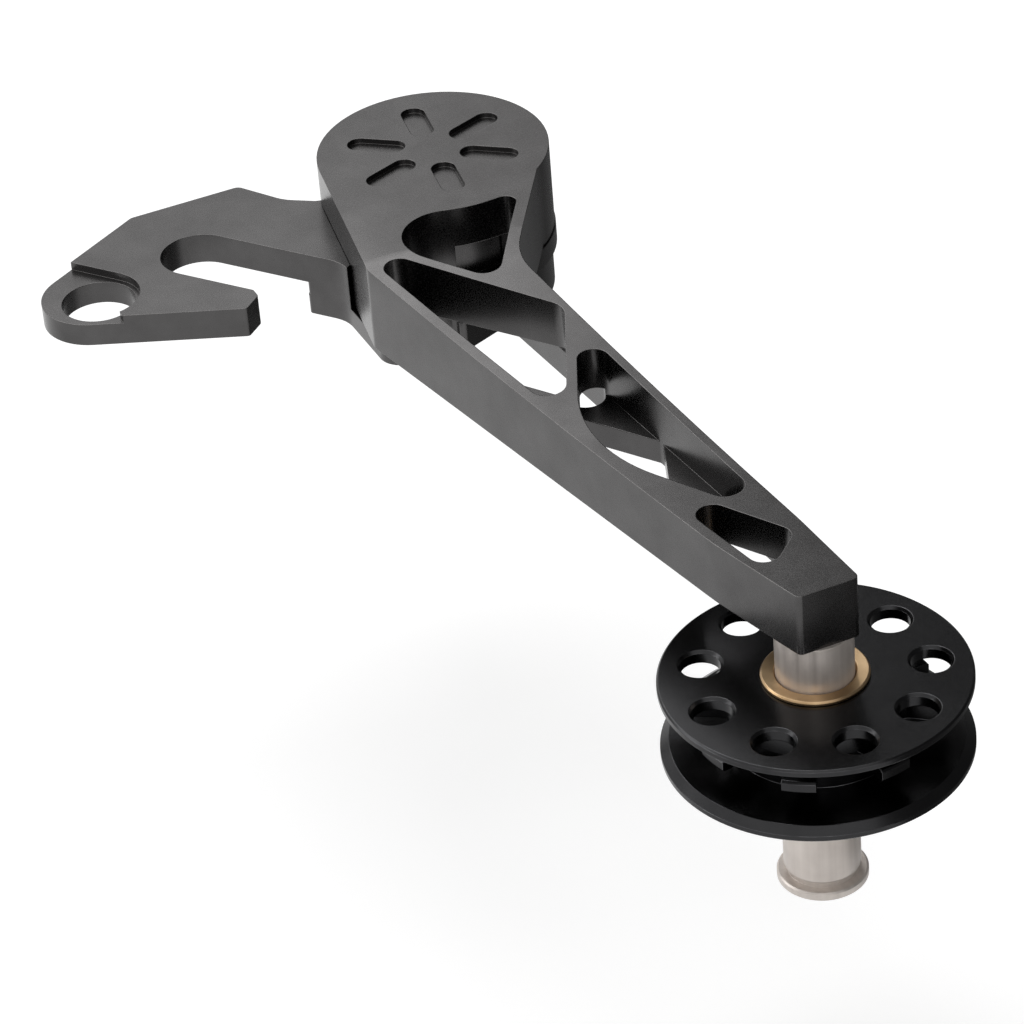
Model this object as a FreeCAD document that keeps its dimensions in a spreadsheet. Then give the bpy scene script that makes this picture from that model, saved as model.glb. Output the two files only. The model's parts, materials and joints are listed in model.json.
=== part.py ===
import FreeCAD, Part
import math
import os
import re
import Sketcher

# Bicycle chain tensioner: a hook plate for the axle, a sprung truss arm and a sliding, turning guide pulley
# Origin: seat centre of the axle slot, on the plate's underside; +Z along the pivot, +X along the arm
# Every body is drawn about its own axis and placed by the pivot's and the shaft's position

doc = FreeCAD.newDocument("ChainTensioner")
sheet = doc.addObject("Spreadsheet::Sheet", "Sizes")

# Driving dimensions in millimetres and degrees
sizes = {
    # places
    "pivot_x": 1.0,
    "pivot_y": 45.4,
    "shaft_reach": 141.7,
    # clearances
    "face_gap": 0.3,
    "running_gap": 0.05,
    "thread_gap": 0.02,
    "thrust_gap": 0.1,
    # hook plate, from the slot's seat centre
    "plate_thick": 5.6,
    "slot_width": 13.5,
    "slot_angle": 37.4,
    "finger_reach": 15.1,
    "finger_nose": 2.2,
    "finger_cut": 4.4,
    "finger_slant": 49.0,
    "finger_round": 0.8,
    "heel_x": -18.2,
    "heel_y": -5.8,
    "shoulder_y": 14.9,
    "neck_x": -9.6,
    "neck_y": 20.2,
    "eyelet_x": 3.1,
    "eyelet_y": -20.2,
    "eyelet_bore": 12.9,
    "eyelet_outer": 18.7,
    "eyelet_shift": 2.0,
    "eyelet_thick": 4.1,
    "eyelet_ledge": 1.0,
    "step_angle": 37.4,
    "step_end_angle": 10.0,
    "heel_round": 1.5,
    "neck_round": 8.0,
    # hub
    "core_radius": 17.4,
    "flange_radius": 20.9,
    "flange_thick": 3.6,
    "boss_radius": 20.0,
    "boss_height": 8.1,
    "boss_recess": 10.0,
    "hub_bore": 15.0,
    "spring_wall": 1.2,
    "cavity_radius": 13.5,
    "cavity_depth": 12.5,
    "block_corner": 17.4,
    "block_round": 1.0,
    "root_round": 7.0,
    "lobe_x": 29.3,
    "lobe_y": -20.5,
    "lobe_radius": 4.3,
    # arm
    "head_radius": 20.7,
    "head_height": 16.0,
    "cap_thick": 7.6,
    "notch_azimuth": -55.0,
    "neck_azimuth": -109.3,
    "swing_limit": 88.0,
    "swing_spare": 2.0,
    "left_corner_x": 31.2,
    "left_corner_y": -26.4,
    "left_corner_round": 3.5,
    "left_bend_run": 13.5,
    "left_bend_y": -9.9,
    "right_vertex_x": 39.5,
    "right_vertex_y": -2.0,
    "right_vertex_round": 14.0,
    "root_azimuth": 38.7,
    "right_bend_run": 12.7,
    "right_bend_y": 4.8,
    "bend_round": 60.0,
    "tip_length": 5.6,
    "tip_left": 5.3,
    "tip_right": 5.5,
    "tip_round": 1.0,
    "tip_drop": 5.0,
    "crease_x": 31.7,
    "crease_turn": -7.3,
    "left_wall": 2.0,
    "right_wall": 1.6,
    "root_wall": 2.2,
    "root_rim": 1.0,
    # truss: ribs of the upper layer, by a point and an angle each
    "root_floor": 5.5,
    "span_floor": 4.3,
    "upper_rib": 1.85,
    "head_rib_x": 38.3,
    "head_rib_y": -13.4,
    "head_rib_angle": 35.2,
    "mid_rib_share": 0.508,
    "mid_rib_y": -7.4,
    "mid_rib_angle": -25.0,
    "tip_rib_run": 23.7,
    "tip_rib_y": -3.9,
    "tip_rib_angle": 30.0,
    "tip_wall_run": 7.5,
    "tip_wall_y": -0.4,
    "tip_wall_angle": -48.0,
    # truss: webs of the lower layer
    "root_web_x": 39.6,
    "root_web_y": -10.9,
    "root_web_angle": -68.0,
    "root_web_thick": 7.0,
    "web_side_x": 38.7,
    "web_side_y": -13.6,
    "web_side_angle": -24.5,
    "port_end_x": 33.8,
    "port_end_y": -18.0,
    "port_end_angle": 80.0,
    "rising_web_share": 0.514,
    "rising_web_y": -6.6,
    "rising_web_angle": 32.8,
    "rising_web_thick": 2.9,
    "web_spread": 1.4,
    "falling_web_angle": -22.0,
    "falling_web_thick": 3.0,
    "cutter_round": 3.15,
    "small_round": 1.0,
    "window_round": 2.7,
    "wide_round": 8.0,
    "bay_round": 28.0,
    "skirt_port_angle": 31.0,
    "petal_count": 6,
    "petal_inner": 5.1,
    "petal_outer": 15.7,
    "petal_width": 4.3,
    "petal_depth": 1.0,
    "petal_turn": -9.0,
    "edge_break": 0.3,
    # pivot
    "stub_radius": 6.0,
    "stub_length": 15.3,
    "washer_thick": 1.0,
    "pivot_washer_radius": 8.6,
    "pivot_washer_thick": 1.2,
    "pivot_screw": 6.0,
    "pivot_screw_length": 12.0,
    "pivot_head_radius": 5.25,
    "pivot_head_height": 3.3,
    "pivot_socket": 4.0,
    "spring_wire": 1.8,
    "spring_pitch": 2.2,
    "spring_turns": 5,
    "wire_flat": 0.55,
    # shaft
    "sleeve_radius": 6.3,
    "sleeve_length": 49.1,
    "sleeve_flange_radius": 7.45,
    "sleeve_flange_thick": 1.65,
    "neck_groove": 0.5,
    "neck_groove_length": 1.4,
    "shaft_screw": 5.0,
    "shaft_screw_hold": 9.0,
    "shaft_head_radius": 4.25,
    "shaft_head_height": 5.0,
    "shaft_socket": 4.0,
    "screw_spare": 0.2,
    # pulley
    "pulley_drop": 9.0,
    "pulley_width": 13.8,
    "disc_radius": 25.0,
    "disc_thick": 2.2,
    "rim_thick": 1.1,
    "rim_bevel": 1.45,
    "disc_boss_radius": 14.2,
    "disc_hole": 6.5,
    "disc_hole_circle": 18.4,
    "disc_hole_turn": -8.5,
    "hole_count": 9,
    "disc_hole_break": 0.45,
    "chain_pitch": 12.7,
    "chain_roller": 7.75,
    "tooth_count": 8,
    "tooth_tip_radius": 20.5,
    "tooth_thick": 2.2,
    "tooth_break": 0.4,
    "tooth_turn": 8.9,
    "tooth_flare": 18.0,
    "bush_flange_radius": 8.7,
    "bush_flange_thick": 0.7,
    "bush_radius": 8.0,
    "bush_round": 0.3,
}

for row, (alias, number) in enumerate(sizes.items(), start=1):
    sheet.set(f"A{row}", alias)
    sheet.set(f"B{row}", str(number))
    sheet.setAlias(f"B{row}", alias)
doc.recompute()


def bound(expression):
    """The expression with each size's name pointed at its cell."""
    return re.sub(r"[a-z]+(?:_[a-z]+)+", lambda found: "Sizes." + found.group(0), expression)


def worth(expression):
    """The number that an expression of size names comes to."""
    return float(sheet.evalExpression(bound(expression)))


# Levels along the pivot, as expressions of the driving dimensions
plateTop = "plate_thick"
capUnder = f"({plateTop} + face_gap)"
headTop = f"({capUnder} + cap_thick)"
armBottom = f"({headTop} - head_height)"
flangeTop = f"({armBottom} - face_gap)"
flangeBottom = f"({flangeTop} - flange_thick)"
bossBottom = f"({flangeBottom} - boss_height)"
stubEnd = f"({capUnder} - stub_length)"
webBottom = f"({stubEnd} + thrust_gap)"
washerSeat = f"({capUnder} - running_gap - washer_thick)"
cavityFloor = f"({plateTop} - cavity_depth)"
pulleyTop = f"({armBottom} - pulley_drop)"
pulleyMiddle = f"({pulleyTop} - pulley_width / 2)"
pitchRadius = "(chain_pitch / 2 / sin(180 deg / tooth_count))"


# Plane geometry
def lineAt(x, y, angle):
    """A line through a point, at an angle in degrees."""
    turn = math.radians(angle)
    return (x, y, math.cos(turn), math.sin(turn))


def lineThrough(start, end):
    return lineAt(start[0], start[1], math.degrees(math.atan2(end[1] - start[1], end[0] - start[0])))


def shifted(line, distance):
    """The line moved to its left by a distance."""
    x, y, along, across = line
    return (x - across * distance, y + along * distance, along, across)


def meet(first, second):
    """The point where two lines cross."""
    determinant = first[2] * second[3] - first[3] * second[2]
    gapX = second[0] - first[0]
    gapY = second[1] - first[1]
    reach = (gapX * second[3] - gapY * second[2]) / determinant
    return (first[0] + first[2] * reach, first[1] + first[3] * reach)


def polar(radius, angle, centre=(0.0, 0.0)):
    turn = math.radians(angle)
    return (centre[0] + radius * math.cos(turn), centre[1] + radius * math.sin(turn))


def tangentPoint(outside, centre, radius, side):
    """Where the tangent from a point touches a circle; side is 1 or -1."""
    gapX = outside[0] - centre[0]
    gapY = outside[1] - centre[1]
    swing = math.degrees(math.acos(radius / math.hypot(gapX, gapY)))
    return polar(radius, math.degrees(math.atan2(gapY, gapX)) + side * swing, centre)


def sizedLine(name, x=None):
    """A line placed and turned by the sizes that begin with its name."""
    return lineAt(worth(x or f"{name}_x"), worth(f"{name}_y"), worth(f"{name}_angle"))


def edgeBetween(start, end):
    """A straight piece of outline, or nothing where the ends coincide."""
    if math.dist(start, end) < 1e-4:
        return []
    return [Part.LineSegment(FreeCAD.Vector(*start, 0), FreeCAD.Vector(*end, 0))]


def roundedPath(corners, closed):
    """Lines through (x, y, radius) corners, with an arc at each corner that has a radius."""
    pieces = []
    count = len(corners)
    marks = []
    for index, (x, y, radius) in enumerate(corners):
        atEnd = not closed and index in (0, count - 1)
        if radius == 0 or atEnd:
            marks.append(((x, y), (x, y), None))
            continue
        before = corners[index - 1]
        after = corners[(index + 1) % count]
        toBefore = lineThrough((x, y), before)
        toAfter = lineThrough((x, y), after)
        cosine = toBefore[2] * toAfter[2] + toBefore[3] * toAfter[3]
        half = math.acos(max(-1.0, min(1.0, cosine))) / 2
        setBack = radius / math.tan(half)
        crest = radius / math.sin(half) - radius
        middleX = toBefore[2] + toAfter[2]
        middleY = toBefore[3] + toAfter[3]
        middle = math.hypot(middleX, middleY)
        entry = (x + toBefore[2] * setBack, y + toBefore[3] * setBack)
        leave = (x + toAfter[2] * setBack, y + toAfter[3] * setBack)
        marks.append((entry, leave, (x + middleX / middle * crest, y + middleY / middle * crest)))
    for index, (entry, leave, top) in enumerate(marks):
        if top:
            points = [FreeCAD.Vector(*point, 0) for point in (entry, top, leave)]
            pieces.append(Part.Arc(*points))
        if closed or index < count - 1:
            pieces += edgeBetween(leave, marks[(index + 1) % count][0])
    return pieces


def loopOfLines(sides):
    """A closed outline from (line, radius) sides; the radius rounds the corner with the next side."""
    corners = []
    for index, (line, radius) in enumerate(sides):
        nextLine = sides[(index + 1) % len(sides)][0]
        corners.append((*meet(line, nextLine), radius))
    return roundedPath(corners, True)


# Bodies, sketches and features
bodies = {}


def newBody(label, onShaft=False):
    body = doc.addObject("PartDesign::Body", label)
    body.Label = label
    body.setExpression("Placement.Base.x", bound("pivot_x + shaft_reach" if onShaft else "pivot_x"))
    body.setExpression("Placement.Base.y", bound("pivot_y"))
    bodies[label] = body
    return body


def newSketch(body, name, role="XY_Plane", level="0"):
    """A sketch on one of the body's own planes, raised to a level."""
    sketch = body.newObject("Sketcher::SketchObject", f"{body.Name}_{name}")
    plane = [feature for feature in body.Origin.OriginFeatures if feature.Role == role][0]
    sketch.AttachmentSupport = [(plane, "")]
    sketch.MapMode = "FlatFace"
    sketch.AttachmentOffset = FreeCAD.Placement(FreeCAD.Vector(0, 0, worth(level)), FreeCAD.Rotation())
    if level != "0":
        sketch.setExpression("AttachmentOffset.Base.z", bound(level))
    return sketch


def addCircle(sketch, radius, x="0", y="0"):
    """A circle whose radius and centre follow the sheet."""
    centre = FreeCAD.Vector(worth(x), worth(y), 0)
    index = sketch.addGeometry(Part.Circle(centre, FreeCAD.Vector(0, 0, 1), worth(radius)))
    limits = (
        (Sketcher.Constraint("Radius", index, worth(radius)), radius),
        (Sketcher.Constraint("DistanceX", -1, 1, index, 3, centre.x), x),
        (Sketcher.Constraint("DistanceY", -1, 1, index, 3, centre.y), y),
    )
    for constraint, expression in limits:
        place = sketch.addConstraint(constraint)
        sketch.setExpression(f"Constraints[{place}]", bound(expression))


def addPolygon(sketch, corners):
    """A closed polygon whose corners are expressions that follow the sheet."""
    points = [FreeCAD.Vector(worth(x), worth(y), 0) for x, y in corners]
    count = len(points)
    first = sketch.GeometryCount
    for index in range(count):
        sketch.addGeometry(Part.LineSegment(points[index], points[(index + 1) % count]))
    for index in range(count):
        following = first + (index + 1) % count
        sketch.addConstraint(Sketcher.Constraint("Coincident", first + index, 2, following, 1))
    for index, corner in enumerate(corners):
        for kind, distance, expression in zip(("DistanceX", "DistanceY"), points[index], corner):
            place = sketch.addConstraint(Sketcher.Constraint(kind, -1, 1, first + index, 1, distance))
            sketch.setExpression(f"Constraints[{place}]", bound(expression))


def addOutline(sketch, pieces):
    for piece in pieces:
        sketch.addGeometry(piece)


def extrude(body, kind, sketch, name, length, upwards):
    """A pad or a pocket of a bound length that goes up or down from its sketch."""
    feature = body.newObject(f"PartDesign::{kind}", f"{body.Name}_{name}")
    feature.Profile = sketch
    feature.setExpression("Length", bound(length))
    feature.Reversed = upwards if kind == "Pocket" else not upwards
    return feature


def pad(body, sketch, name, length, upwards=True):
    return extrude(body, "Pad", sketch, name, length, upwards)


def pocket(body, sketch, name, length, upwards=False):
    return extrude(body, "Pocket", sketch, name, length, upwards)


def around(body, feature, name, count):
    """Copies of a feature, evenly spaced round the body's axis."""
    pattern = body.newObject("PartDesign::PolarPattern", f"{body.Name}_{name}")
    pattern.Originals = [feature]
    axis = [item for item in body.Origin.OriginFeatures if item.Role == "Z_Axis"][0]
    pattern.Axis = (axis, [""])
    pattern.Angle = 360
    pattern.setExpression("Occurrences", bound(count))
    body.Tip = pattern
    return pattern


def turned(body, name, corners):
    """A solid of revolution about the body's axis from (radius, level) corners."""
    sketch = newSketch(body, f"{name}_section", "XZ_Plane")
    addPolygon(sketch, corners)
    feature = body.newObject("PartDesign::Revolution", f"{body.Name}_{name}")
    feature.Profile = sketch
    feature.ReferenceAxis = (sketch, ["V_Axis"])
    feature.Angle = 360
    return feature


def hexagonSocket(body, name, level, across, depth, upwards):
    """A hexagon socket, sized across its flats, cut from a level."""
    sketch = newSketch(body, name, level=level)
    corners = []
    for index in range(6):
        angle = f"{60 * index + 30} deg"
        reach = f"{across} / 2 / cos(30 deg)"
        corners.append((f"{reach} * cos({angle})", f"{reach} * sin({angle})"))
    addPolygon(sketch, corners)
    return pocket(body, sketch, f"{name}_cut", depth, upwards)


# Hook bracket: hub, flange, boss, root block, lobe and hook plate in one milled piece
def hookPlateOutline():
    """Slot, finger, eyelet, heel and neck, drawn from the slot's seat centre and moved to the pivot's frame."""
    half = worth("slot_width / 2")
    along = worth("slot_angle")
    slot = lineAt(0, 0, along)
    upper = shifted(slot, half)
    lower = shifted(slot, -half)
    back = shifted(lineAt(0, 0, along + 90), half)
    eyelet = (worth("eyelet_x - eyelet_shift"), worth("eyelet_y"))
    eyeletRadius = worth("eyelet_outer / 2")
    fingerInner = polar(worth("finger_reach"), along, (lower[0], lower[1]))
    fingerNose = (fingerInner[0] + worth("finger_nose"), fingerInner[1])
    fingerTip = polar(worth("finger_cut"), -worth("finger_slant"), fingerNose)
    heel = (worth("heel_x"), worth("heel_y"))
    fromHeel = lineThrough(heel, tangentPoint(heel, eyelet, eyeletRadius, 1))
    fromFinger = lineThrough(fingerTip, tangentPoint(fingerTip, eyelet, eyeletRadius, -1))
    pivot = (worth("pivot_x"), worth("pivot_y"))
    # the neck runs into the hub's wall, between the core's outside and the spring's cavity
    inside = worth("(core_radius + cavity_radius) / 2")
    stopLine = shifted(lineThrough(pivot, polar(1, worth("notch_azimuth"), pivot)), -worth("face_gap"))
    stopInside = polar(inside, worth("notch_azimuth - swing_spare"), pivot)
    lobeLine = lineAt(0, worth("pivot_y + lobe_y - lobe_radius"), 0)
    neckInside = polar(inside, worth("neck_azimuth"), pivot)
    neckOutside = polar(worth("head_radius + root_rim"), worth("neck_azimuth"), pivot)
    corners = [
        (*stopInside, 0),
        (*meet(stopLine, lobeLine), 0),
        (*meet(lobeLine, upper), worth("root_round")),
        (*meet(upper, back), half),
        (*meet(lower, back), half),
        (*fingerInner, worth("finger_round")),
        (*fingerNose, worth("finger_round")),
        (*fingerTip, worth("finger_round")),
        (*meet(fromFinger, fromHeel), eyeletRadius),
        (*heel, worth("heel_round")),
        (worth("heel_x"), worth("shoulder_y"), worth("heel_round")),
        (worth("neck_x"), worth("neck_y"), worth("neck_round")),
        (*neckOutside, 0),
        (*neckInside, 0),
    ]
    return roundedPath([(x - pivot[0], y - pivot[1], radius) for x, y, radius in corners], True)


def rootOutline():
    """The block beside the neck and the lobe below the arm's root, round the hub."""
    inside = worth("(core_radius + flange_radius) / 2")
    upper = shifted(lineAt(-worth("pivot_x"), -worth("pivot_y"), worth("slot_angle")), worth("slot_width / 2"))
    blockCorner = polar(worth("block_corner"), worth("slot_angle"), (upper[0], upper[1]))
    lobe = (worth("lobe_x"), worth("lobe_y"))
    radius = worth("lobe_radius")
    lobeLine = lineAt(0, lobe[1] - radius, 0)
    # the lobe runs back into the flange beside its own far side
    lobeEnd = math.degrees(math.atan2(lobe[1] + radius, lobe[0] + radius)) + worth("swing_spare")
    corners = [
        (*polar(inside, worth("neck_azimuth")), 0),
        (*blockCorner, worth("block_round")),
        (*meet(upper, lobeLine), worth("root_round")),
        (lobe[0] + radius, lobe[1] - radius, radius),
        (lobe[0] + radius, lobe[1] + radius, radius),
        (*polar(worth("flange_radius"), lobeEnd), 0),
        (*polar(inside, lobeEnd), 0),
        (*polar(inside, (worth("neck_azimuth") + lobeEnd) / 2), 0),
    ]
    return roundedPath(corners, True)


def blockOutline():
    """The block between the neck's underside and the flange, inside the arm's notch."""
    inside = worth("(core_radius + cavity_radius) / 2")
    upper = shifted(lineAt(-worth("pivot_x"), -worth("pivot_y"), worth("slot_angle")), worth("slot_width / 2"))
    blockCorner = polar(worth("block_corner"), worth("slot_angle"), (upper[0], upper[1]))
    stopLine = shifted(lineAt(0, 0, worth("notch_azimuth")), -worth("face_gap"))
    lobeLine = lineAt(0, worth("lobe_y - lobe_radius"), 0)
    corners = [
        (*polar(inside, worth("neck_azimuth")), 0),
        (*blockCorner, worth("block_round")),
        (*meet(upper, lobeLine), worth("root_round")),
        (*meet(lobeLine, stopLine), 0),
        (*polar(inside, worth("notch_azimuth - swing_spare")), 0),
    ]
    return roundedPath(corners, True)


def eyeletStepOutline():
    """The area round the eyelet where the plate is thinner."""
    centre = (worth("eyelet_x - pivot_x"), worth("eyelet_y - pivot_y"))
    ledge = worth("eyelet_bore / 2 + eyelet_ledge")
    touch = polar(ledge, worth("step_angle") + 90, centre)
    clear = worth("eyelet_outer")
    stepEnd = polar(clear, worth("step_angle") + 180, touch)
    pieces = edgeBetween(stepEnd, touch)
    middle = polar(ledge, worth("(step_angle + 90 + step_end_angle) / 2"), centre)
    arcEnd = polar(ledge, worth("step_end_angle"), centre)
    frontEnd = (arcEnd[0] + clear, arcEnd[1])
    pieces.append(Part.Arc(*[FreeCAD.Vector(*point, 0) for point in (touch, middle, arcEnd)]))
    pieces += edgeBetween(arcEnd, frontEnd)
    low = centre[1] - clear
    pieces += edgeBetween(frontEnd, (frontEnd[0], low))
    pieces += edgeBetween((frontEnd[0], low), (stepEnd[0], low))
    pieces += edgeBetween((stepEnd[0], low), stepEnd)
    return pieces


def makeHookBracket():
    body = newBody("hook_bracket")
    innerWall = "hub_bore / 2 + spring_wall"
    turned(body, "hub", [
        ("hub_bore / 2", washerSeat),
        (innerWall, washerSeat),
        (innerWall, cavityFloor),
        ("cavity_radius", cavityFloor),
        ("cavity_radius", plateTop),
        ("core_radius", plateTop),
        ("core_radius", flangeTop),
        ("flange_radius", flangeTop),
        ("flange_radius", flangeBottom),
        ("boss_radius", flangeBottom),
        ("boss_radius", bossBottom),
        ("boss_recess", bossBottom),
        ("boss_recess", webBottom),
        ("hub_bore / 2", webBottom),
    ])
    root = newSketch(body, "root", level=flangeTop)
    addOutline(root, rootOutline())
    pad(body, root, "root_pad", "flange_thick", upwards=False)
    block = newSketch(body, "block", level=flangeTop)
    addOutline(block, blockOutline())
    pad(body, block, "block_pad", f"-{flangeTop}")
    plate = newSketch(body, "plate")
    addOutline(plate, hookPlateOutline())
    pad(body, plate, "plate_pad", "plate_thick")
    step = newSketch(body, "step", level=plateTop)
    addOutline(step, eyeletStepOutline())
    pocket(body, step, "step_cut", "plate_thick - eyelet_thick")
    hole = newSketch(body, "eyelet", level=plateTop)
    addCircle(hole, "eyelet_bore / 2", "eyelet_x - pivot_x", "eyelet_y - pivot_y")
    pocket(body, hole, "eyelet_cut", "plate_thick")


# Arm: teardrop head with a notched skirt, two-layer truss, tip block and pivot stub
def armOutline():
    radius = worth("head_radius")
    leftCorner = (worth("left_corner_x"), worth("left_corner_y"))
    rightVertex = (worth("right_vertex_x"), worth("right_vertex_y"))
    leftTouch = tangentPoint(leftCorner, (0, 0), radius, -1)
    rightTouch = polar(radius, worth("root_azimuth"))
    tipEnd = worth("shaft_reach + tip_length")
    bendRound = worth("bend_round")
    tipRound = worth("tip_round")
    corners = [
        (*leftTouch, 0),
        (*leftCorner, worth("left_corner_round")),
        (worth("shaft_reach - left_bend_run"), worth("left_bend_y"), bendRound),
        (tipEnd, -worth("tip_left"), tipRound),
        (tipEnd, worth("tip_right"), tipRound),
        (worth("shaft_reach - right_bend_run"), worth("right_bend_y"), bendRound),
        (*rightVertex, worth("right_vertex_round")),
        (*rightTouch, 0),
    ]
    pieces = roundedPath(corners, False)
    back = polar(radius, 180)
    pieces.append(Part.Arc(*[FreeCAD.Vector(*point, 0) for point in (rightTouch, back, leftTouch)]))
    return pieces


def trussLines():
    """The bounding lines of the truss: flanks moved in by their walls, upper ribs and lower webs."""
    leftBend = (worth("shaft_reach - left_bend_run"), worth("left_bend_y"))
    leftFlank = lineThrough((worth("left_corner_x"), worth("left_corner_y")), leftBend)
    rightVertex = (worth("right_vertex_x"), worth("right_vertex_y"))
    rightBend = (worth("shaft_reach - right_bend_run"), worth("right_bend_y"))
    rightTouch = polar(worth("head_radius"), worth("root_azimuth"))
    right = shifted(lineThrough(rightVertex, rightBend), -worth("right_wall"))
    rising = sizedLine("rising_web", "rising_web_share * shaft_reach")
    # the falling web starts from the right wall just past the rising one
    foot = meet(shifted(rising, -worth("rising_web_thick")), right)
    return {
        "left": shifted(leftFlank, worth("left_wall")),
        "right": right,
        "root": shifted(lineThrough(rightVertex, rightTouch), worth("root_wall")),
        "headRib": sizedLine("head_rib"),
        "midRib": sizedLine("mid_rib", "mid_rib_share * shaft_reach"),
        "tipRib": sizedLine("tip_rib", "shaft_reach - tip_rib_run"),
        "tipWall": sizedLine("tip_wall", "shaft_reach - tip_wall_run"),
        "rootWeb": sizedLine("root_web"),
        "webSide": sizedLine("web_side"),
        "portEnd": sizedLine("port_end"),
        "risingWeb": rising,
        "fallingWeb": lineAt(foot[0] + worth("web_spread"), foot[1], worth("falling_web_angle")),
    }


def headSides():
    """The two sides of the first window that follow the head's rim."""
    rim = worth("head_radius + root_rim")
    return rim, lineAt(*polar(rim, -18.5), 72.6), lineAt(*polar(rim, 4.8), 94.8)


def topWindows():
    """Outlines of the upper layer's windows, from the head to the tip."""
    lines = trussLines()
    half = worth("upper_rib / 2")
    rim, headLow, headHigh = headSides()
    cutter = worth("cutter_round")
    window = worth("window_round")
    first = loopOfLines([
        (headLow, rim),
        (headHigh, worth("block_round * 2")),
        (lines["root"], cutter),
        (shifted(lines["headRib"], half), worth("wide_round")),
    ])
    second = loopOfLines([
        (shifted(lines["headRib"], -half), worth("wide_round / 2")),
        (shifted(lines["midRib"], -half), cutter),
        (lines["left"], window),
    ])
    third = loopOfLines([
        (shifted(lines["midRib"], half), window),
        (lines["right"], cutter),
        (shifted(lines["tipRib"], half), worth("bay_round")),
    ])
    fourth = loopOfLines([
        (shifted(lines["tipRib"], -half), window),
        (lines["tipWall"], window),
        (lines["left"], window),
    ])
    return first, second, third, fourth


def bottomWindows():
    """Outlines of the lower layer's windows, from the head to the tip."""
    lines = trussLines()
    small = worth("small_round")
    cutter = worth("cutter_round")
    rim, headLow, headHigh = headSides()
    port = loopOfLines([
        (headLow, rim),
        (headHigh, small),
        (lines["root"], small),
        (shifted(lines["rootWeb"], -worth("root_web_thick")), small),
        (shifted(lines["headRib"], worth("upper_rib / 2")), worth("wide_round")),
    ])
    first = loopOfLines([
        (lines["portEnd"], small),
        (lines["webSide"], small),
        (lines["rootWeb"], small),
        (lines["right"], cutter),
        (lines["risingWeb"], small),
        (lines["left"], small),
    ])
    second = loopOfLines([
        (shifted(lines["risingWeb"], -worth("rising_web_thick")), small),
        (lines["right"], small),
        (lines["fallingWeb"], cutter),
        (lines["left"], cutter),
    ])
    third = loopOfLines([
        (shifted(lines["fallingWeb"], worth("falling_web_thick")), cutter),
        (lines["right"], small),
        (lines["tipWall"], small),
        (lines["left"], small),
    ])
    return port, first, second, third


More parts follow.
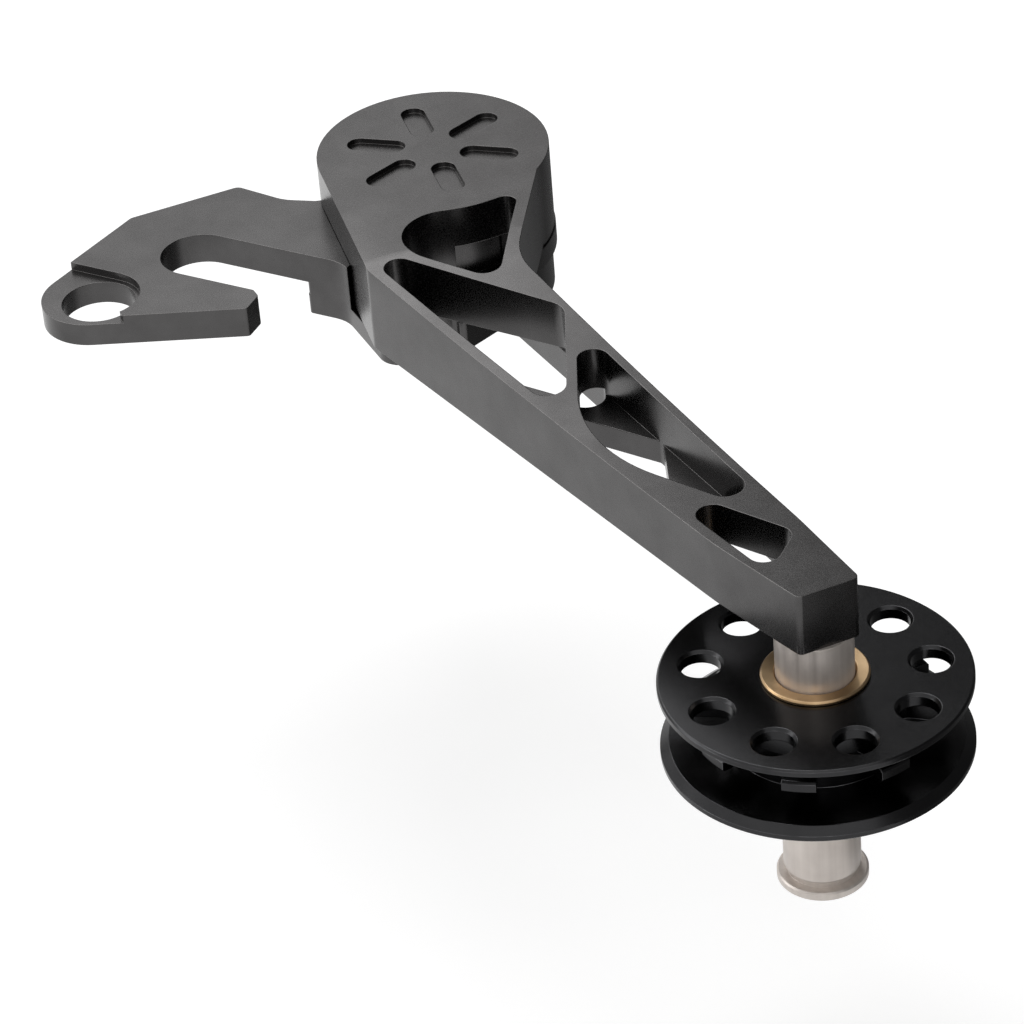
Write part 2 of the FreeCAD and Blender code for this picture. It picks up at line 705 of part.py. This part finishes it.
def makeArm():
    body = newBody("arm")
    blank = newSketch(body, "outline", level=armBottom)
    addOutline(blank, armOutline())
    pad(body, blank, "blank", "head_height")
    # the top falls away from the head in a long hollow curve that ends level at the tip
    tipEnd = worth("shaft_reach + tip_length")
    drop = worth("tip_drop")
    top = worth(headTop)
    run = tipEnd - worth("crease_x")
    hollow = (run * run + drop * drop) / (2 * drop)
    bend = math.asin(run / hollow) / 2
    crease = FreeCAD.Vector(worth("crease_x"), top, 0)
    middle = FreeCAD.Vector(tipEnd - hollow * math.sin(bend), top - drop + hollow * (1 - math.cos(bend)), 0)
    tip = FreeCAD.Vector(tipEnd, top - drop, 0)
    slope = newSketch(body, "slope", "XZ_Plane")
    upright = FreeCAD.Rotation(FreeCAD.Vector(0, 1, 0), worth("crease_turn"))
    slope.AttachmentOffset = FreeCAD.Placement(FreeCAD.Vector(0, 0, 0), upright)
    slope.addGeometry(Part.Arc(crease, middle, tip))
    beyond = (tipEnd + 1, top - drop)
    above = (tipEnd + 1, top + 1)
    over = (crease.x, top + 1)
    for start, end in ((beyond, above), (above, over)):
        addOutline(slope, edgeBetween(start, end))
    addOutline(slope, edgeBetween((tip.x, tip.y), beyond))
    addOutline(slope, edgeBetween(over, (crease.x, crease.y)))
    fall = body.newObject("PartDesign::Pocket", "arm_fall")
    fall.Profile = slope
    fall.Type = "ThroughAll"
    fall.Midplane = True
    # notch under the cap for the hook plate's neck, as far as the arm swings
    notch = newSketch(body, "notch", level=armBottom)
    clear = worth("left_corner_x") * 2
    first = worth("notch_azimuth")
    last = worth("neck_azimuth - swing_limit - swing_spare")
    steps = [first + (last - first) * part / 4 for part in range(5)]
    addOutline(notch, roundedPath([(0, 0, 0)] + [(*polar(clear, angle), 0) for angle in steps], True))
    skirtDepth = "head_height - cap_thick"
    pocket(body, notch, "notch_cut", skirtDepth, upwards=True)
    recess = newSketch(body, "recess", level=armBottom)
    addCircle(recess, "core_radius + face_gap")
    pocket(body, recess, "recess_cut", skirtDepth, upwards=True)
    stub = newSketch(body, "stub", level=capUnder)
    addCircle(stub, "stub_radius")
    pad(body, stub, "stub_pad", "stub_length", upwards=False)
    screw = newSketch(body, "stub_hole", level=stubEnd)
    addCircle(screw, "pivot_screw / 2 + thread_gap")
    pocket(body, screw, "stub_thread", "pivot_screw_length + screw_spare", upwards=True)
    # port in the skirt, between the recess and the first window
    port = newSketch(body, "skirt_port", level=armBottom)
    half = worth("skirt_port_angle / 2")
    inner = worth("core_radius")
    outer = worth("head_radius + root_rim") / math.cos(math.radians(half))
    corners = [polar(inner, -half), polar(outer, -half), polar(outer, half), polar(inner, half)]
    addOutline(port, roundedPath([(*corner, 0) for corner in corners], True))
    pocket(body, port, "skirt_port_cut", skirtDepth, upwards=True)
    shaftHole = newSketch(body, "shaft_hole", level=armBottom)
    addCircle(shaftHole, "shaft_screw / 2 + thread_gap", x="shaft_reach")
    pocket(body, shaftHole, "shaft_thread", "shaft_screw_hold + screw_spare", upwards=True)
    petals = newSketch(body, "petals", level=headTop)
    width = worth("petal_width")
    for index in range(int(worth("petal_count"))):
        angle = worth("petal_turn") + 360 * index / worth("petal_count")
        ray = lineAt(0, 0, angle)
        sides = [
            (shifted(ray, -width / 2), width / 2),
            (lineAt(*polar(worth("petal_outer"), angle), angle + 90), width / 2),
            (shifted(ray, width / 2), width / 2),
            (lineAt(*polar(worth("petal_inner"), angle), angle + 90), width / 2),
        ]
        addOutline(petals, loopOfLines(sides))
    pocket(body, petals, "petal_cut", "petal_depth")
    for index, outline in enumerate(topWindows()):
        sketch = newSketch(body, f"top_window{index}", level=headTop)
        addOutline(sketch, outline)
        floor = "root_floor" if index < 2 else "span_floor"
        pocket(body, sketch, f"top_window{index}_cut", f"head_height - {floor}")
    for index, outline in enumerate(bottomWindows()):
        sketch = newSketch(body, f"bottom_window{index}", level=armBottom)
        addOutline(sketch, outline)
        floor = "root_floor" if index < 2 else "span_floor"
        pocket(body, sketch, f"bottom_window{index}_cut", floor, upwards=True)


# Pivot stack: bush in the hub, thrust washer, spring, retaining washer and screw
def makePivotBush():
    body = newBody("pivot_bush")
    inner = "stub_radius + running_gap"
    turned(body, "ring", [
        (inner, webBottom),
        ("hub_bore / 2", webBottom),
        ("hub_bore / 2", washerSeat),
        (inner, washerSeat),
    ])


def makeThrustWasher():
    body = newBody("thrust_washer")
    inner = "stub_radius + face_gap"
    outer = "hub_bore / 2 + spring_wall"
    top = f"{washerSeat} + washer_thick"
    turned(body, "ring", [(inner, washerSeat), (outer, washerSeat), (outer, top), (inner, top)])


def makePivotWasher():
    body = newBody("pivot_washer")
    inner = "pivot_screw / 2 + screw_spare"
    bottom = f"{stubEnd} - pivot_washer_thick"
    turned(body, "ring", [
        (inner, bottom),
        ("pivot_washer_radius", bottom),
        ("pivot_washer_radius", stubEnd),
        (inner, stubEnd),
    ])


def makePivotBolt():
    body = newBody("pivot_bolt")
    seat = f"({stubEnd} - pivot_washer_thick)"
    bottom = f"({seat} - pivot_head_height)"
    turned(body, "screw", [
        ("0", bottom),
        ("pivot_head_radius * 0.6", bottom),
        ("pivot_head_radius * 0.9", f"{bottom} + pivot_head_height / 3"),
        ("pivot_head_radius", f"{seat} - pivot_head_height / 6"),
        ("pivot_head_radius", seat),
        ("pivot_screw / 2", seat),
        ("pivot_screw / 2", f"{stubEnd} + pivot_screw_length"),
        ("0", f"{stubEnd} + pivot_screw_length"),
    ])
    hexagonSocket(body, "socket", bottom, "pivot_socket", "pivot_head_height * 0.6", upwards=True)


def makeTorsionSpring():
    """The close coil in the hub's cavity, drawn as its pitch of touching rounds of eight-sided wire."""
    body = newBody("torsion_spring")
    middle = "(hub_bore / 2 + spring_wall + cavity_radius) / 2"
    inner = f"({middle} - spring_wire / 2)"
    outer = f"({middle} + spring_wire / 2)"
    outside = []
    inside = []
    for turn in range(int(worth("spring_turns"))):
        low = f"({cavityFloor} + face_gap + spring_pitch * {turn})"
        high = f"({low} + spring_pitch)"
        for wall, toward, side in ((outer, "-", outside), (inner, "+", inside)):
            side.append((f"{wall} {toward} wire_flat", low))
            side.append((wall, f"{low} + wire_flat"))
            side.append((wall, f"{high} - wire_flat"))
    side = f"({cavityFloor} + face_gap + spring_pitch * spring_turns)"
    outside.append((f"{outer} - wire_flat", side))
    inside.append((f"{inner} + wire_flat", side))
    turned(body, "coil", outside + inside[::-1])


# Shaft: flanged sleeve under the arm's tip and the screw that holds it
def makeShaftSleeve():
    body = newBody("shaft_sleeve", onShaft=True)
    bottom = f"({armBottom} - sleeve_length)"
    flangeTopEdge = f"({bottom} + sleeve_flange_thick)"
    inner = "shaft_screw / 2 + screw_spare"
    headRoom = "shaft_head_radius + screw_spare"
    headSeat = f"({bottom} + shaft_head_height + screw_spare)"
    edge = "edge_break"
    turned(body, "sleeve", [
        (inner, armBottom),
        ("sleeve_radius", armBottom),
        ("sleeve_radius", f"{flangeTopEdge} + neck_groove_length"),
        ("sleeve_radius - neck_groove", f"{flangeTopEdge} + neck_groove_length - neck_groove"),
        ("sleeve_radius - neck_groove", flangeTopEdge),
        (f"sleeve_flange_radius - {edge}", flangeTopEdge),
        ("sleeve_flange_radius", f"{flangeTopEdge} - {edge}"),
        ("sleeve_flange_radius", f"{bottom} + {edge}"),
        (f"sleeve_flange_radius - {edge}", bottom),
        (headRoom, bottom),
        (headRoom, headSeat),
        (inner, headSeat),
    ])


def makeShaftBolt():
    body = newBody("shaft_bolt", onShaft=True)
    seat = f"({armBottom} - sleeve_length + shaft_head_height + screw_spare)"
    bottom = f"({seat} - shaft_head_height)"
    tip = f"({armBottom} + shaft_screw_hold)"
    turned(body, "screw", [
        ("0", bottom),
        ("shaft_head_radius - edge_break", bottom),
        ("shaft_head_radius", f"{bottom} + edge_break"),
        ("shaft_head_radius", seat),
        ("shaft_screw / 2", seat),
        ("shaft_screw / 2", tip),
        ("0", tip),
    ])
    hexagonSocket(body, "socket", bottom, "shaft_socket", "shaft_head_height / 2", upwards=True)


# Pulley: two guide discs either side of the toothed wheel, on two flanged bushes
def makeGuideDisc(label, facing, drilled):
    """A disc with its outer face up for facing 1 and down for facing -1, with holes if drilled."""
    body = newBody(label, onShaft=True)
    side = "+" if facing > 0 else "-"
    outer = f"({pulleyMiddle} {side} pulley_width / 2)"
    inward = "-" if facing > 0 else "+"
    face = f"({outer} {inward} disc_thick)"
    seat = f"({pulleyMiddle} {side} tooth_thick / 2)"
    edge = "edge_break"
    turned(body, "disc", [
        ("bush_radius + running_gap", outer),
        (f"disc_radius - {edge}", outer),
        ("disc_radius", f"{outer} {inward} {edge}"),
        ("disc_radius", f"{outer} {inward} rim_thick"),
        ("disc_radius - rim_bevel", face),
        ("disc_boss_radius", face),
        ("disc_boss_radius", seat),
        ("bush_radius + running_gap", seat),
    ])
    if not drilled:
        return
    hole = newSketch(body, "hole", level=outer)
    angle = "disc_hole_turn * 1 deg"
    addCircle(hole, "disc_hole / 2", f"disc_hole_circle * cos({angle})", f"disc_hole_circle * sin({angle})")
    cut = pocket(body, hole, "hole_cut", "disc_thick", upwards=facing < 0)
    pattern = around(body, cut, "holes", "hole_count")
    doc.recompute()
    level = worth(outer)
    rims = []
    for index, edgeShape in enumerate(pattern.Shape.Edges, start=1):
        box = edgeShape.BoundBox
        flat = abs(box.ZMin - level) < 0.001 and abs(box.ZMax - level) < 0.001
        if flat and abs(edgeShape.Curve.Radius - worth("disc_hole / 2")) < 0.001:
            rims.append(f"Edge{index}")
    chamfer = body.newObject("PartDesign::Chamfer", f"{body.Name}_hole_break")
    chamfer.Base = (pattern, rims)
    chamfer.setExpression("Size", bound("disc_hole_break"))
    body.Tip = chamfer


def makeToothedWheel():
    """Square teeth left between roller seats on the chain's pitch circle."""
    body = newBody("toothed_wheel", onShaft=True)
    low = f"({pulleyMiddle} - tooth_thick / 2)"
    high = f"({pulleyMiddle} + tooth_thick / 2)"
    turned(body, "rim", [
        ("bush_radius + running_gap", low),
        ("tooth_tip_radius - tooth_break", low),
        ("tooth_tip_radius", f"{low} + tooth_break"),
        ("tooth_tip_radius", f"{high} - tooth_break"),
        ("tooth_tip_radius - tooth_break", high),
        ("bush_radius + running_gap", high),
    ])
    seat = newSketch(body, "seat", level=high)
    angle = worth("tooth_turn + 180 / tooth_count")
    half = worth("chain_roller / 2 + face_gap / 2")
    roller = polar(worth(pitchRadius), angle)
    flare = worth("tooth_flare")
    bottom = lineAt(*polar(worth(pitchRadius) - half, angle), angle + 90)
    mouth = lineAt(*polar(worth("tooth_tip_radius") + half, angle), angle + 90)
    addOutline(seat, loopOfLines([
        (shifted(lineAt(*roller, angle - flare), -half), 0),
        (mouth, 0),
        (shifted(lineAt(*roller, angle + flare), half), half),
        (bottom, half),
    ]))
    cut = pocket(body, seat, "seat_cut", "tooth_thick")
    around(body, cut, "seats", "tooth_count")


def makeBush(label, facing):
    """A flanged bush in one half of the pulley, with its flange on the outer face."""
    body = newBody(label, onShaft=True)
    side = "+" if facing > 0 else "-"
    face = f"({pulleyMiddle} {side} (pulley_width / 2 + thrust_gap))"
    end = f"({pulleyMiddle} {side} (pulley_width / 2 + thrust_gap + bush_flange_thick))"
    inner = "sleeve_radius + running_gap"
    soft = "bush_round"
    back = "-" if facing > 0 else "+"
    turned(body, "bush", [
        (inner, pulleyMiddle),
        ("bush_radius", pulleyMiddle),
        ("bush_radius", face),
        ("bush_flange_radius", face),
        ("bush_flange_radius", f"{end} {back} {soft}"),
        (f"bush_flange_radius - {soft}", end),
        (f"{inner} + {soft}", end),
        (inner, f"{end} {back} {soft}"),
    ])


makeHookBracket()
makeArm()
makePivotBush()
makeThrustWasher()
makePivotWasher()
makePivotBolt()
makeTorsionSpring()
makeShaftSleeve()
makeShaftBolt()
makeGuideDisc("upper_guide_disc", 1, True)
makeToothedWheel()
makeGuideDisc("lower_guide_disc", -1, False)
makeBush("upper_bush", 1)
makeBush("lower_bush", -1)
doc.recompute()

# Nothing is written unless every feature and solid is sound
faults = [item.Name for item in doc.Objects if {"Invalid", "Error"} & set(item.State)]
if faults:
    raise RuntimeError("failed features: " + ", ".join(faults))
os.makedirs("parts", exist_ok=True)
for label, item in bodies.items():
    shape = item.Shape
    if shape.isNull() or not shape.isValid() or len(shape.Solids) != 1:
        raise RuntimeError(f"{label} is not one sound solid")
    shape.exportStep(f"parts/{label}.step")
    print(label, round(shape.Volume, 1), "cubic mm")
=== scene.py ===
import json
import math

import bmesh
import bpy
from mathutils import Matrix, Vector


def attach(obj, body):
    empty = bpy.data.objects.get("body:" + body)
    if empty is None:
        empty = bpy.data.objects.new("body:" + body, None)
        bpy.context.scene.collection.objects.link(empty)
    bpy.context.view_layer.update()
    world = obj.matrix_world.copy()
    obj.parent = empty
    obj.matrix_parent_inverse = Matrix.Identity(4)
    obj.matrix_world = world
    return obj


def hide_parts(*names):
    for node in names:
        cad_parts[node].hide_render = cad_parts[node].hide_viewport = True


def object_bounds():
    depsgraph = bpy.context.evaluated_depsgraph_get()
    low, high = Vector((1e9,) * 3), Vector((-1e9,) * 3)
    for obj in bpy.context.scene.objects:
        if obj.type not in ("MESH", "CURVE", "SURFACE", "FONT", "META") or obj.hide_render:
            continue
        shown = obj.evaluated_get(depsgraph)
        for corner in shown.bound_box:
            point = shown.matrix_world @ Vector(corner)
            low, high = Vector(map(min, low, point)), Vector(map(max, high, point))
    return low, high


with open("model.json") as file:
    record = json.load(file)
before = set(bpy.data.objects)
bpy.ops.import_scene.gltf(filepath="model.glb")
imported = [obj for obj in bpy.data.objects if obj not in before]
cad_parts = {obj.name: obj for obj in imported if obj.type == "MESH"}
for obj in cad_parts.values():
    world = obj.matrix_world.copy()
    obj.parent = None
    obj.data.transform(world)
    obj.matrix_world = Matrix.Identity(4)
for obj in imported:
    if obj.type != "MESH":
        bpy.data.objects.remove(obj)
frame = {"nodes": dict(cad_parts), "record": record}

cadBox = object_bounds()
nodes = frame["nodes"]
mm = 0.001  # the scene is in metres
white = (1, 1, 1, 1)


# small helpers
def hexColour(code):
    # sRGB hex to linear RGBA
    parts = [int(code[i:i + 2], 16) / 255 for i in (1, 3, 5)]
    linear = [c / 12.92 if c <= 0.04045 else ((c + 0.055) / 1.055) ** 2.4 for c in parts]
    return (*linear, 1.0)


def addObject(name, data):
    made = bpy.data.objects.new(name, data)
    bpy.context.scene.collection.objects.link(made)
    return made


def addNode(tree, kind, settings=None, links=None):
    # one node: settings by attribute or by socket, links from other nodes' sockets
    node = tree.nodes.new(kind)
    for key, value in (settings or {}).items():
        if isinstance(key, int) or key in node.inputs:
            node.inputs[key].default_value = value
        else:
            setattr(node, key, value)
    for key, source in (links or {}).items():
        tree.links.new(source, node.inputs[key])
    return node


def newMaterial(name):
    material = bpy.data.materials.new(name)
    material.use_nodes = True
    material.node_tree.nodes.clear()
    return material, material.node_tree


# camera, from the photograph's own perspective
photoCamera = {
    "lens": 158.19,       # mm
    "sensor": 36.0,       # mm
    "clip": (0.01, 20),   # m
    "position": (648.484, -210.987, 410.555),  # mm
    "right": (0.422405, 0.903719, -0.069751),
    "up": (-0.488356, 0.291739, 0.822434),
    "back": (0.763599, -0.313337, 0.564568),
}


def makeCamera():
    data = bpy.data.cameras.new("photoCamera")
    data.lens = photoCamera["lens"]
    data.sensor_width = photoCamera["sensor"]
    data.sensor_fit = "HORIZONTAL"
    data.clip_start, data.clip_end = photoCamera["clip"]
    camera = addObject("photoCamera", data)
    turn = Matrix([photoCamera[key] for key in ("right", "up", "back")]).transposed().to_4x4()
    camera.matrix_world = Matrix.Translation(Vector(photoCamera["position"]) * mm) @ turn
    bpy.context.scene.camera = camera


makeCamera()
print("camera ready")


# studio: pale floor well under the part, soft lamps, white behind
def seenDirectly(tree):
    # 1 for what the camera sees, also in the metal, and 0 for the light on the part
    path = addNode(tree, "ShaderNodeLightPath")
    return addNode(tree, "ShaderNodeMath", {"operation": "MAXIMUM"},
                   {0: path.outputs["Is Camera Ray"], 1: path.outputs["Is Glossy Ray"]}).outputs[0]


paperFloor = {
    "drop": 0.03,           # m under the part's lowest point
    "middle": (0.07, 0.0),  # m
    "radius": 3.0,          # m
    "sides": 64,
    "colour": "#d6d6d6",
    "glow": 0.5,            # lifts the paper to white where it is seen
}


def makeFloor():
    mesh = bpy.data.meshes.new("studioFloor")
    build = bmesh.new()
    bmesh.ops.create_circle(build, cap_ends=True, segments=paperFloor["sides"],
                            radius=paperFloor["radius"])
    low = cadBox[0][2] - paperFloor["drop"]
    bmesh.ops.translate(build, verts=build.verts, vec=(*paperFloor["middle"], low))
    build.to_mesh(mesh)
    build.free()
    floor = addObject("studioFloor", mesh)
    # matte paper: plain for the light on the part, lifted by a glow where it is seen
    material, tree = newMaterial("matte white sweep paper")
    plain = addNode(tree, "ShaderNodeBsdfDiffuse",
                    {"Color": hexColour(paperFloor["colour"])}).outputs[0]
    glow = addNode(tree, "ShaderNodeEmission",
                   {"Color": white, "Strength": paperFloor["glow"]}).outputs[0]
    lifted = addNode(tree, "ShaderNodeAddShader", links={0: plain, 1: glow}).outputs[0]
    mix = addNode(tree, "ShaderNodeMixShader", links={0: seenDirectly(tree), 1: plain, 2: lifted})
    addNode(tree, "ShaderNodeOutputMaterial", links={"Surface": mix.outputs[0]})
    mesh.materials.append(material)


greyCards = {
    "brightness": 0.13,
    "low": -0.08,               # m, just over the floor
    "back": 0.36,               # m, where the two cards meet
    "sideEnds": (-0.62, 1.0),   # m, the upright card
    "sideTop": 0.95,            # m
    "footEnds": (-0.35, 0.7),   # m, the card that lies on the floor
    "footFront": 0.085,         # m
}


def makeCards():
    # grey cards that show only in the metal, as a photographer sets them
    low, back = greyCards["low"], greyCards["back"]
    top, front = greyCards["sideTop"], greyCards["footFront"]
    sideLeft, sideRight = greyCards["sideEnds"]
    footLeft, footRight = greyCards["footEnds"]
    material, tree = newMaterial("grey card")
    grey = addNode(tree, "ShaderNodeEmission",
                   {"Color": white, "Strength": greyCards["brightness"]})
    addNode(tree, "ShaderNodeOutputMaterial", links={"Surface": grey.outputs[0]})
    outlines = {
        "sideCard": ((sideLeft, back, low), (sideRight, back, low),
                     (sideRight, back, top), (sideLeft, back, top)),
        "footCard": ((footLeft, front, low), (footRight, front, low),
                     (footRight, back, low), (footLeft, back, low)),
    }
    for name, corners in outlines.items():
        mesh = bpy.data.meshes.new(name)
        mesh.from_pydata(corners, [], [(0, 1, 2, 3)])
        mesh.materials.append(material)
        card = addObject(name, mesh)
        for ray in ("camera", "diffuse", "shadow", "transmission"):
            setattr(card, f"visible_{ray}", False)


roomLight = 0.4


def makeWorld():
    # white where it is seen, dimmer as light
    world = bpy.data.worlds.new("studioRoom")
    world.use_nodes = True
    tree = world.node_tree
    tree.nodes.clear()
    dim = addNode(tree, "ShaderNodeBackground", {"Color": white, "Strength": roomLight}).outputs[0]
    seen = addNode(tree, "ShaderNodeBackground", {"Color": white, "Strength": 1.0}).outputs[0]
    mix = addNode(tree, "ShaderNodeMixShader", links={0: seenDirectly(tree), 1: dim, 2: seen})
    addNode(tree, "ShaderNodeOutputWorld", links={"Surface": mix.outputs[0]})
    bpy.context.scene.world = world


lamps = {
    "aim": (0.07, 0.03, 0.0),  # m, the part's middle
    "boxes": {
        # place in m, size in m, watts
        "overheadSoftbox": ((-0.55, 0.1, 1.0), (0.9, 0.9), 7.5),
        "leftSoftbox": ((-0.35, -1.0, 0.45), (0.8, 0.5), 3.6),
        "frontFill": ((1.1, -0.5, 0.8), (0.5, 0.5), 1.2),
    },
}


def makeLamps():
    aim = Vector(lamps["aim"])
    for name, (place, size, watts) in lamps["boxes"].items():
        data = bpy.data.lights.new(name, "AREA")
        data.shape = "RECTANGLE"
        data.size, data.size_y = size
        data.energy = watts
        lamp = addObject(name, data)
        lamp.location = place
        lamp.rotation_euler = (aim - Vector(place)).to_track_quat("-Z", "Y").to_euler()


makeFloor()
makeCards()
makeWorld()
makeLamps()
bpy.context.scene.view_settings.view_transform = "Standard"
print("studio ready")


# materials
def ramp(tree, source, low, high, fromLow=0.3, fromHigh=0.7):
    # a number moved from one range to another
    return addNode(tree, "ShaderNodeMapRange",
                   {"From Min": fromLow, "From Max": fromHigh, "To Min": low, "To Max": high},
                   {"Value": source}).outputs["Result"]


def noise(tree, place, scale, detail, roughness=0.5):
    return addNode(tree, "ShaderNodeTexNoise",
                   {"Scale": scale, "Detail": detail, "Roughness": roughness},
                   {"Vector": place}).outputs["Fac"]


def roundedNormal(tree, samples, radius):
    return addNode(tree, "ShaderNodeBevel",
                   {"samples": samples, "Radius": radius * mm}).outputs["Normal"]


def blendColours(tree, factor, first, second):
    # two colours, each a hex code or another node's output
    settings = {"data_type": "RGBA"}
    links = {0: factor}
    for place, colour in ((6, first), (7, second)):
        if isinstance(colour, str):
            settings[place] = hexColour(colour)
        else:
            links[place] = colour
    return addNode(tree, "ShaderNodeMix", settings, links).outputs[2]


def edgeMask(tree, finish):
    # 1 beside real edges and 0 on open faces, with the rounded normal that goes with it
    rounded = roundedNormal(tree, 8, finish["edgeRadius"])
    plain = addNode(tree, "ShaderNodeNewGeometry").outputs["Normal"]
    along = addNode(tree, "ShaderNodeVectorMath", {"operation": "DOT_PRODUCT"},
                    {0: rounded, 1: plain}).outputs["Value"]
    return rounded, ramp(tree, along, 1.0, 0.0, *finish["edgeTurn"])


def finishMetal(material, tree, finish, tone, shine, height, normal):
    # the metal itself, with a fine bump
    bump = addNode(tree, "ShaderNodeBump",
                   {"Strength": finish["bump"], "Distance": finish["bumpDepth"] * mm},
                   {"Height": height, "Normal": normal})
    skin = addNode(tree, "ShaderNodeBsdfPrincipled", {"Metallic": finish["metallic"]},
                   {"Base Color": tone, "Roughness": shine, "Normal": bump.outputs["Normal"]})
    addNode(tree, "ShaderNodeOutputMaterial", links={"Surface": skin.outputs[0]})
    return material


blastedBlack = {
    "dark": "#4b4a4a",
    "light": "#565555",
    # paler tone on the edges: partly wear, partly a painted highlight along the edges
    "edge": "#666463",
    "metallic": 1.0,
    "roughness": (0.24, 0.29),
    "mottle": 9.0,              # mm across a patch of the dye
    "grain": 0.28,              # mm, bead-blast grain drawn coarser than real to show
    "edgeRadius": 0.16,         # mm
    "edgeTurn": (0.86, 0.995),  # how far the rounded normal leans, on the edge and beside it
    "wearAndHighlightSpacing": 1.6,               # mm between pale places along an edge, partly wear and partly painted highlight
    "bump": 0.035,
    "bumpDepth": 0.02,          # mm
}
turnedBlack = {
    **blastedBlack,
    "dark": "#303031",
    "light": "#3a3a3b",
    # paler tone on the edges: partly wear, partly a painted highlight along the edges
    "edge": "#6d6d6f",
    "roughness": (0.2, 0.27),
    "mottle": 14.0,
    "grain": 0.2,
    "edgeRadius": 0.18,
    "wearAndHighlightSpacing": 2.4,
}


def makeAnodised(name, finish):
    # black anodised aluminium: a grey sheen, a fine grain, and edges a little paler, partly as wear
    # where they rub and partly as a painted highlight along the edges
    material, tree = newMaterial(name)
    place = addNode(tree, "ShaderNodeTexCoord").outputs["Object"]
    patches = noise(tree, place, 1000 / finish["mottle"], 4.0, 0.6)
    grain = noise(tree, place, 1000 / finish["grain"], 2.0)
    wearAndHighlightPatches = noise(tree, place, 1000 / finish["wearAndHighlightSpacing"], 3.0)
    rounded, beside = edgeMask(tree, finish)
    # pale edges broken up by noise: partly rubbed wear, partly a painted highlight
    wornAndHighlitEdges = addNode(tree, "ShaderNodeMath", {"operation": "MULTIPLY"},
                     {0: beside, 1: ramp(tree, wearAndHighlightPatches, 0.1, 0.85, 0.35, 0.62)}).outputs[0]
    dye = blendColours(tree, ramp(tree, patches, 0.0, 1.0), finish["dark"], finish["light"])
    speckled = blendColours(tree, ramp(tree, grain, 0.0, 0.2, 0.45, 0.75), dye, finish["light"])
    # the edge tone laid over the dye: part wear, part painted highlight
    tone = blendColours(tree, wornAndHighlitEdges, speckled, finish["edge"])
    shine = ramp(tree, grain, *finish["roughness"])
    return finishMetal(material, tree, finish, tone, shine, grain, rounded)


# streaks: noise scale along x, y and z in 1/m, so a low number draws them out
turnedBronze = {
    "dark": "#957a5a",
    "light": "#d3b68f",
    "metallic": 1.0,
    "roughness": (0.24, 0.34),
    "streaks": (60, 60, 4000),  # rings round the shaft, from the lathe
    "clouds": 140.0,            # 1/m, uneven tone
    "edgeRadius": 0.15,         # mm
    "bump": 0.1,
    "bumpDepth": 0.02,          # mm
}
polishedSleeve = {
    **turnedBronze,
    "dark": "#c3bab3",
    "light": "#e2dad3",
    "metallic": 0.5,            # half plain grey, as the polished steel's haze shows
    "roughness": (0.32, 0.46),
    "streaks": (900, 900, 12),  # marks along the shaft, where the bushes slide
}
platedScrew = {
    **turnedBronze,
    "dark": "#8b8c8e",
    "light": "#a9abae",
    "roughness": (0.3, 0.42),
}
springWire = {
    **turnedBronze,
    "dark": "#5d5d60",
    "light": "#7b7b7e",
    "roughness": (0.25, 0.35),
}


def makeTurned(name, finish):
    # turned or polished metal: soft streaks along the tool's path, warm uneven tone
    material, tree = newMaterial(name)
    place = addNode(tree, "ShaderNodeTexCoord").outputs["Object"]
    drawn = addNode(tree, "ShaderNodeMapping", {"Scale": finish["streaks"]},
                    {"Vector": place}).outputs[0]
    lines = noise(tree, drawn, 1.0, 3.0)
    clouds = noise(tree, place, finish["clouds"], 3.0)
    both = addNode(tree, "ShaderNodeMath", {"operation": "MULTIPLY_ADD", 1: 0.6},
                   {0: lines, 2: ramp(tree, clouds, 0.0, 0.4)}).outputs[0]
    tone = blendColours(tree, ramp(tree, both, 0.0, 1.0, 0.2, 0.8), finish["dark"], finish["light"])
    shine = ramp(tree, lines, *finish["roughness"])
    rounded = roundedNormal(tree, 6, finish["edgeRadius"])
    return finishMetal(material, tree, finish, tone, shine, lines, rounded)


# skins: each CAD piece in its finish
skins = {
    "weld": 0.002,      # mm, vertices nearer than this become one
    "sharpAngle": 28,   # degrees, a fold sharper than this stays an edge
}


def dress(nodeName, material):
    # a finished skin on the node's own vertices: curved walls smooth, real edges crisp
    mesh = nodes[nodeName].data.copy()
    mesh.name = f"{nodeName}Skin"
    build = bmesh.new()
    build.from_mesh(mesh)
    bmesh.ops.remove_doubles(build, verts=build.verts, dist=skins["weld"] * mm)
    bmesh.ops.recalc_face_normals(build, faces=build.faces)
    for face in build.faces:
        face.smooth = True
    for edge in build.edges:
        edge.smooth = edge.calc_face_angle(math.pi) < math.radians(skins["sharpAngle"])
    build.to_mesh(mesh)
    build.free()
    mesh.materials.clear()
    mesh.materials.append(material)
    skin = addObject(f"{nodeName}Skin", mesh)
    bodies = frame["record"]["behaviour"]["bodies"]
    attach(skin, next(body for body in bodies if nodeName in bodies[body]))
    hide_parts(nodeName)


finishes = [
    (makeAnodised("black anodised aluminium, bead blasted", blastedBlack),
     ["arm", "hook_bracket"]),
    (makeAnodised("black anodised aluminium, turned", turnedBlack),
     ["upper_guide_disc", "lower_guide_disc", "toothed_wheel"]),
    (makeTurned("polished stainless steel sleeve", polishedSleeve),
     ["shaft_sleeve"]),
    (makeTurned("sintered bronze, turned", turnedBronze),
     ["upper_bush", "lower_bush", "pivot_bush", "thrust_washer"]),
    (makeTurned("zinc plated steel", platedScrew),
     ["pivot_washer", "pivot_bolt", "shaft_bolt"]),
    (makeTurned("oiled spring wire", springWire),
     ["torsion_spring"]),
]
for material, nodeNames in finishes:
    for nodeName in nodeNames:
        dress(nodeName, material)
print("skins ready")
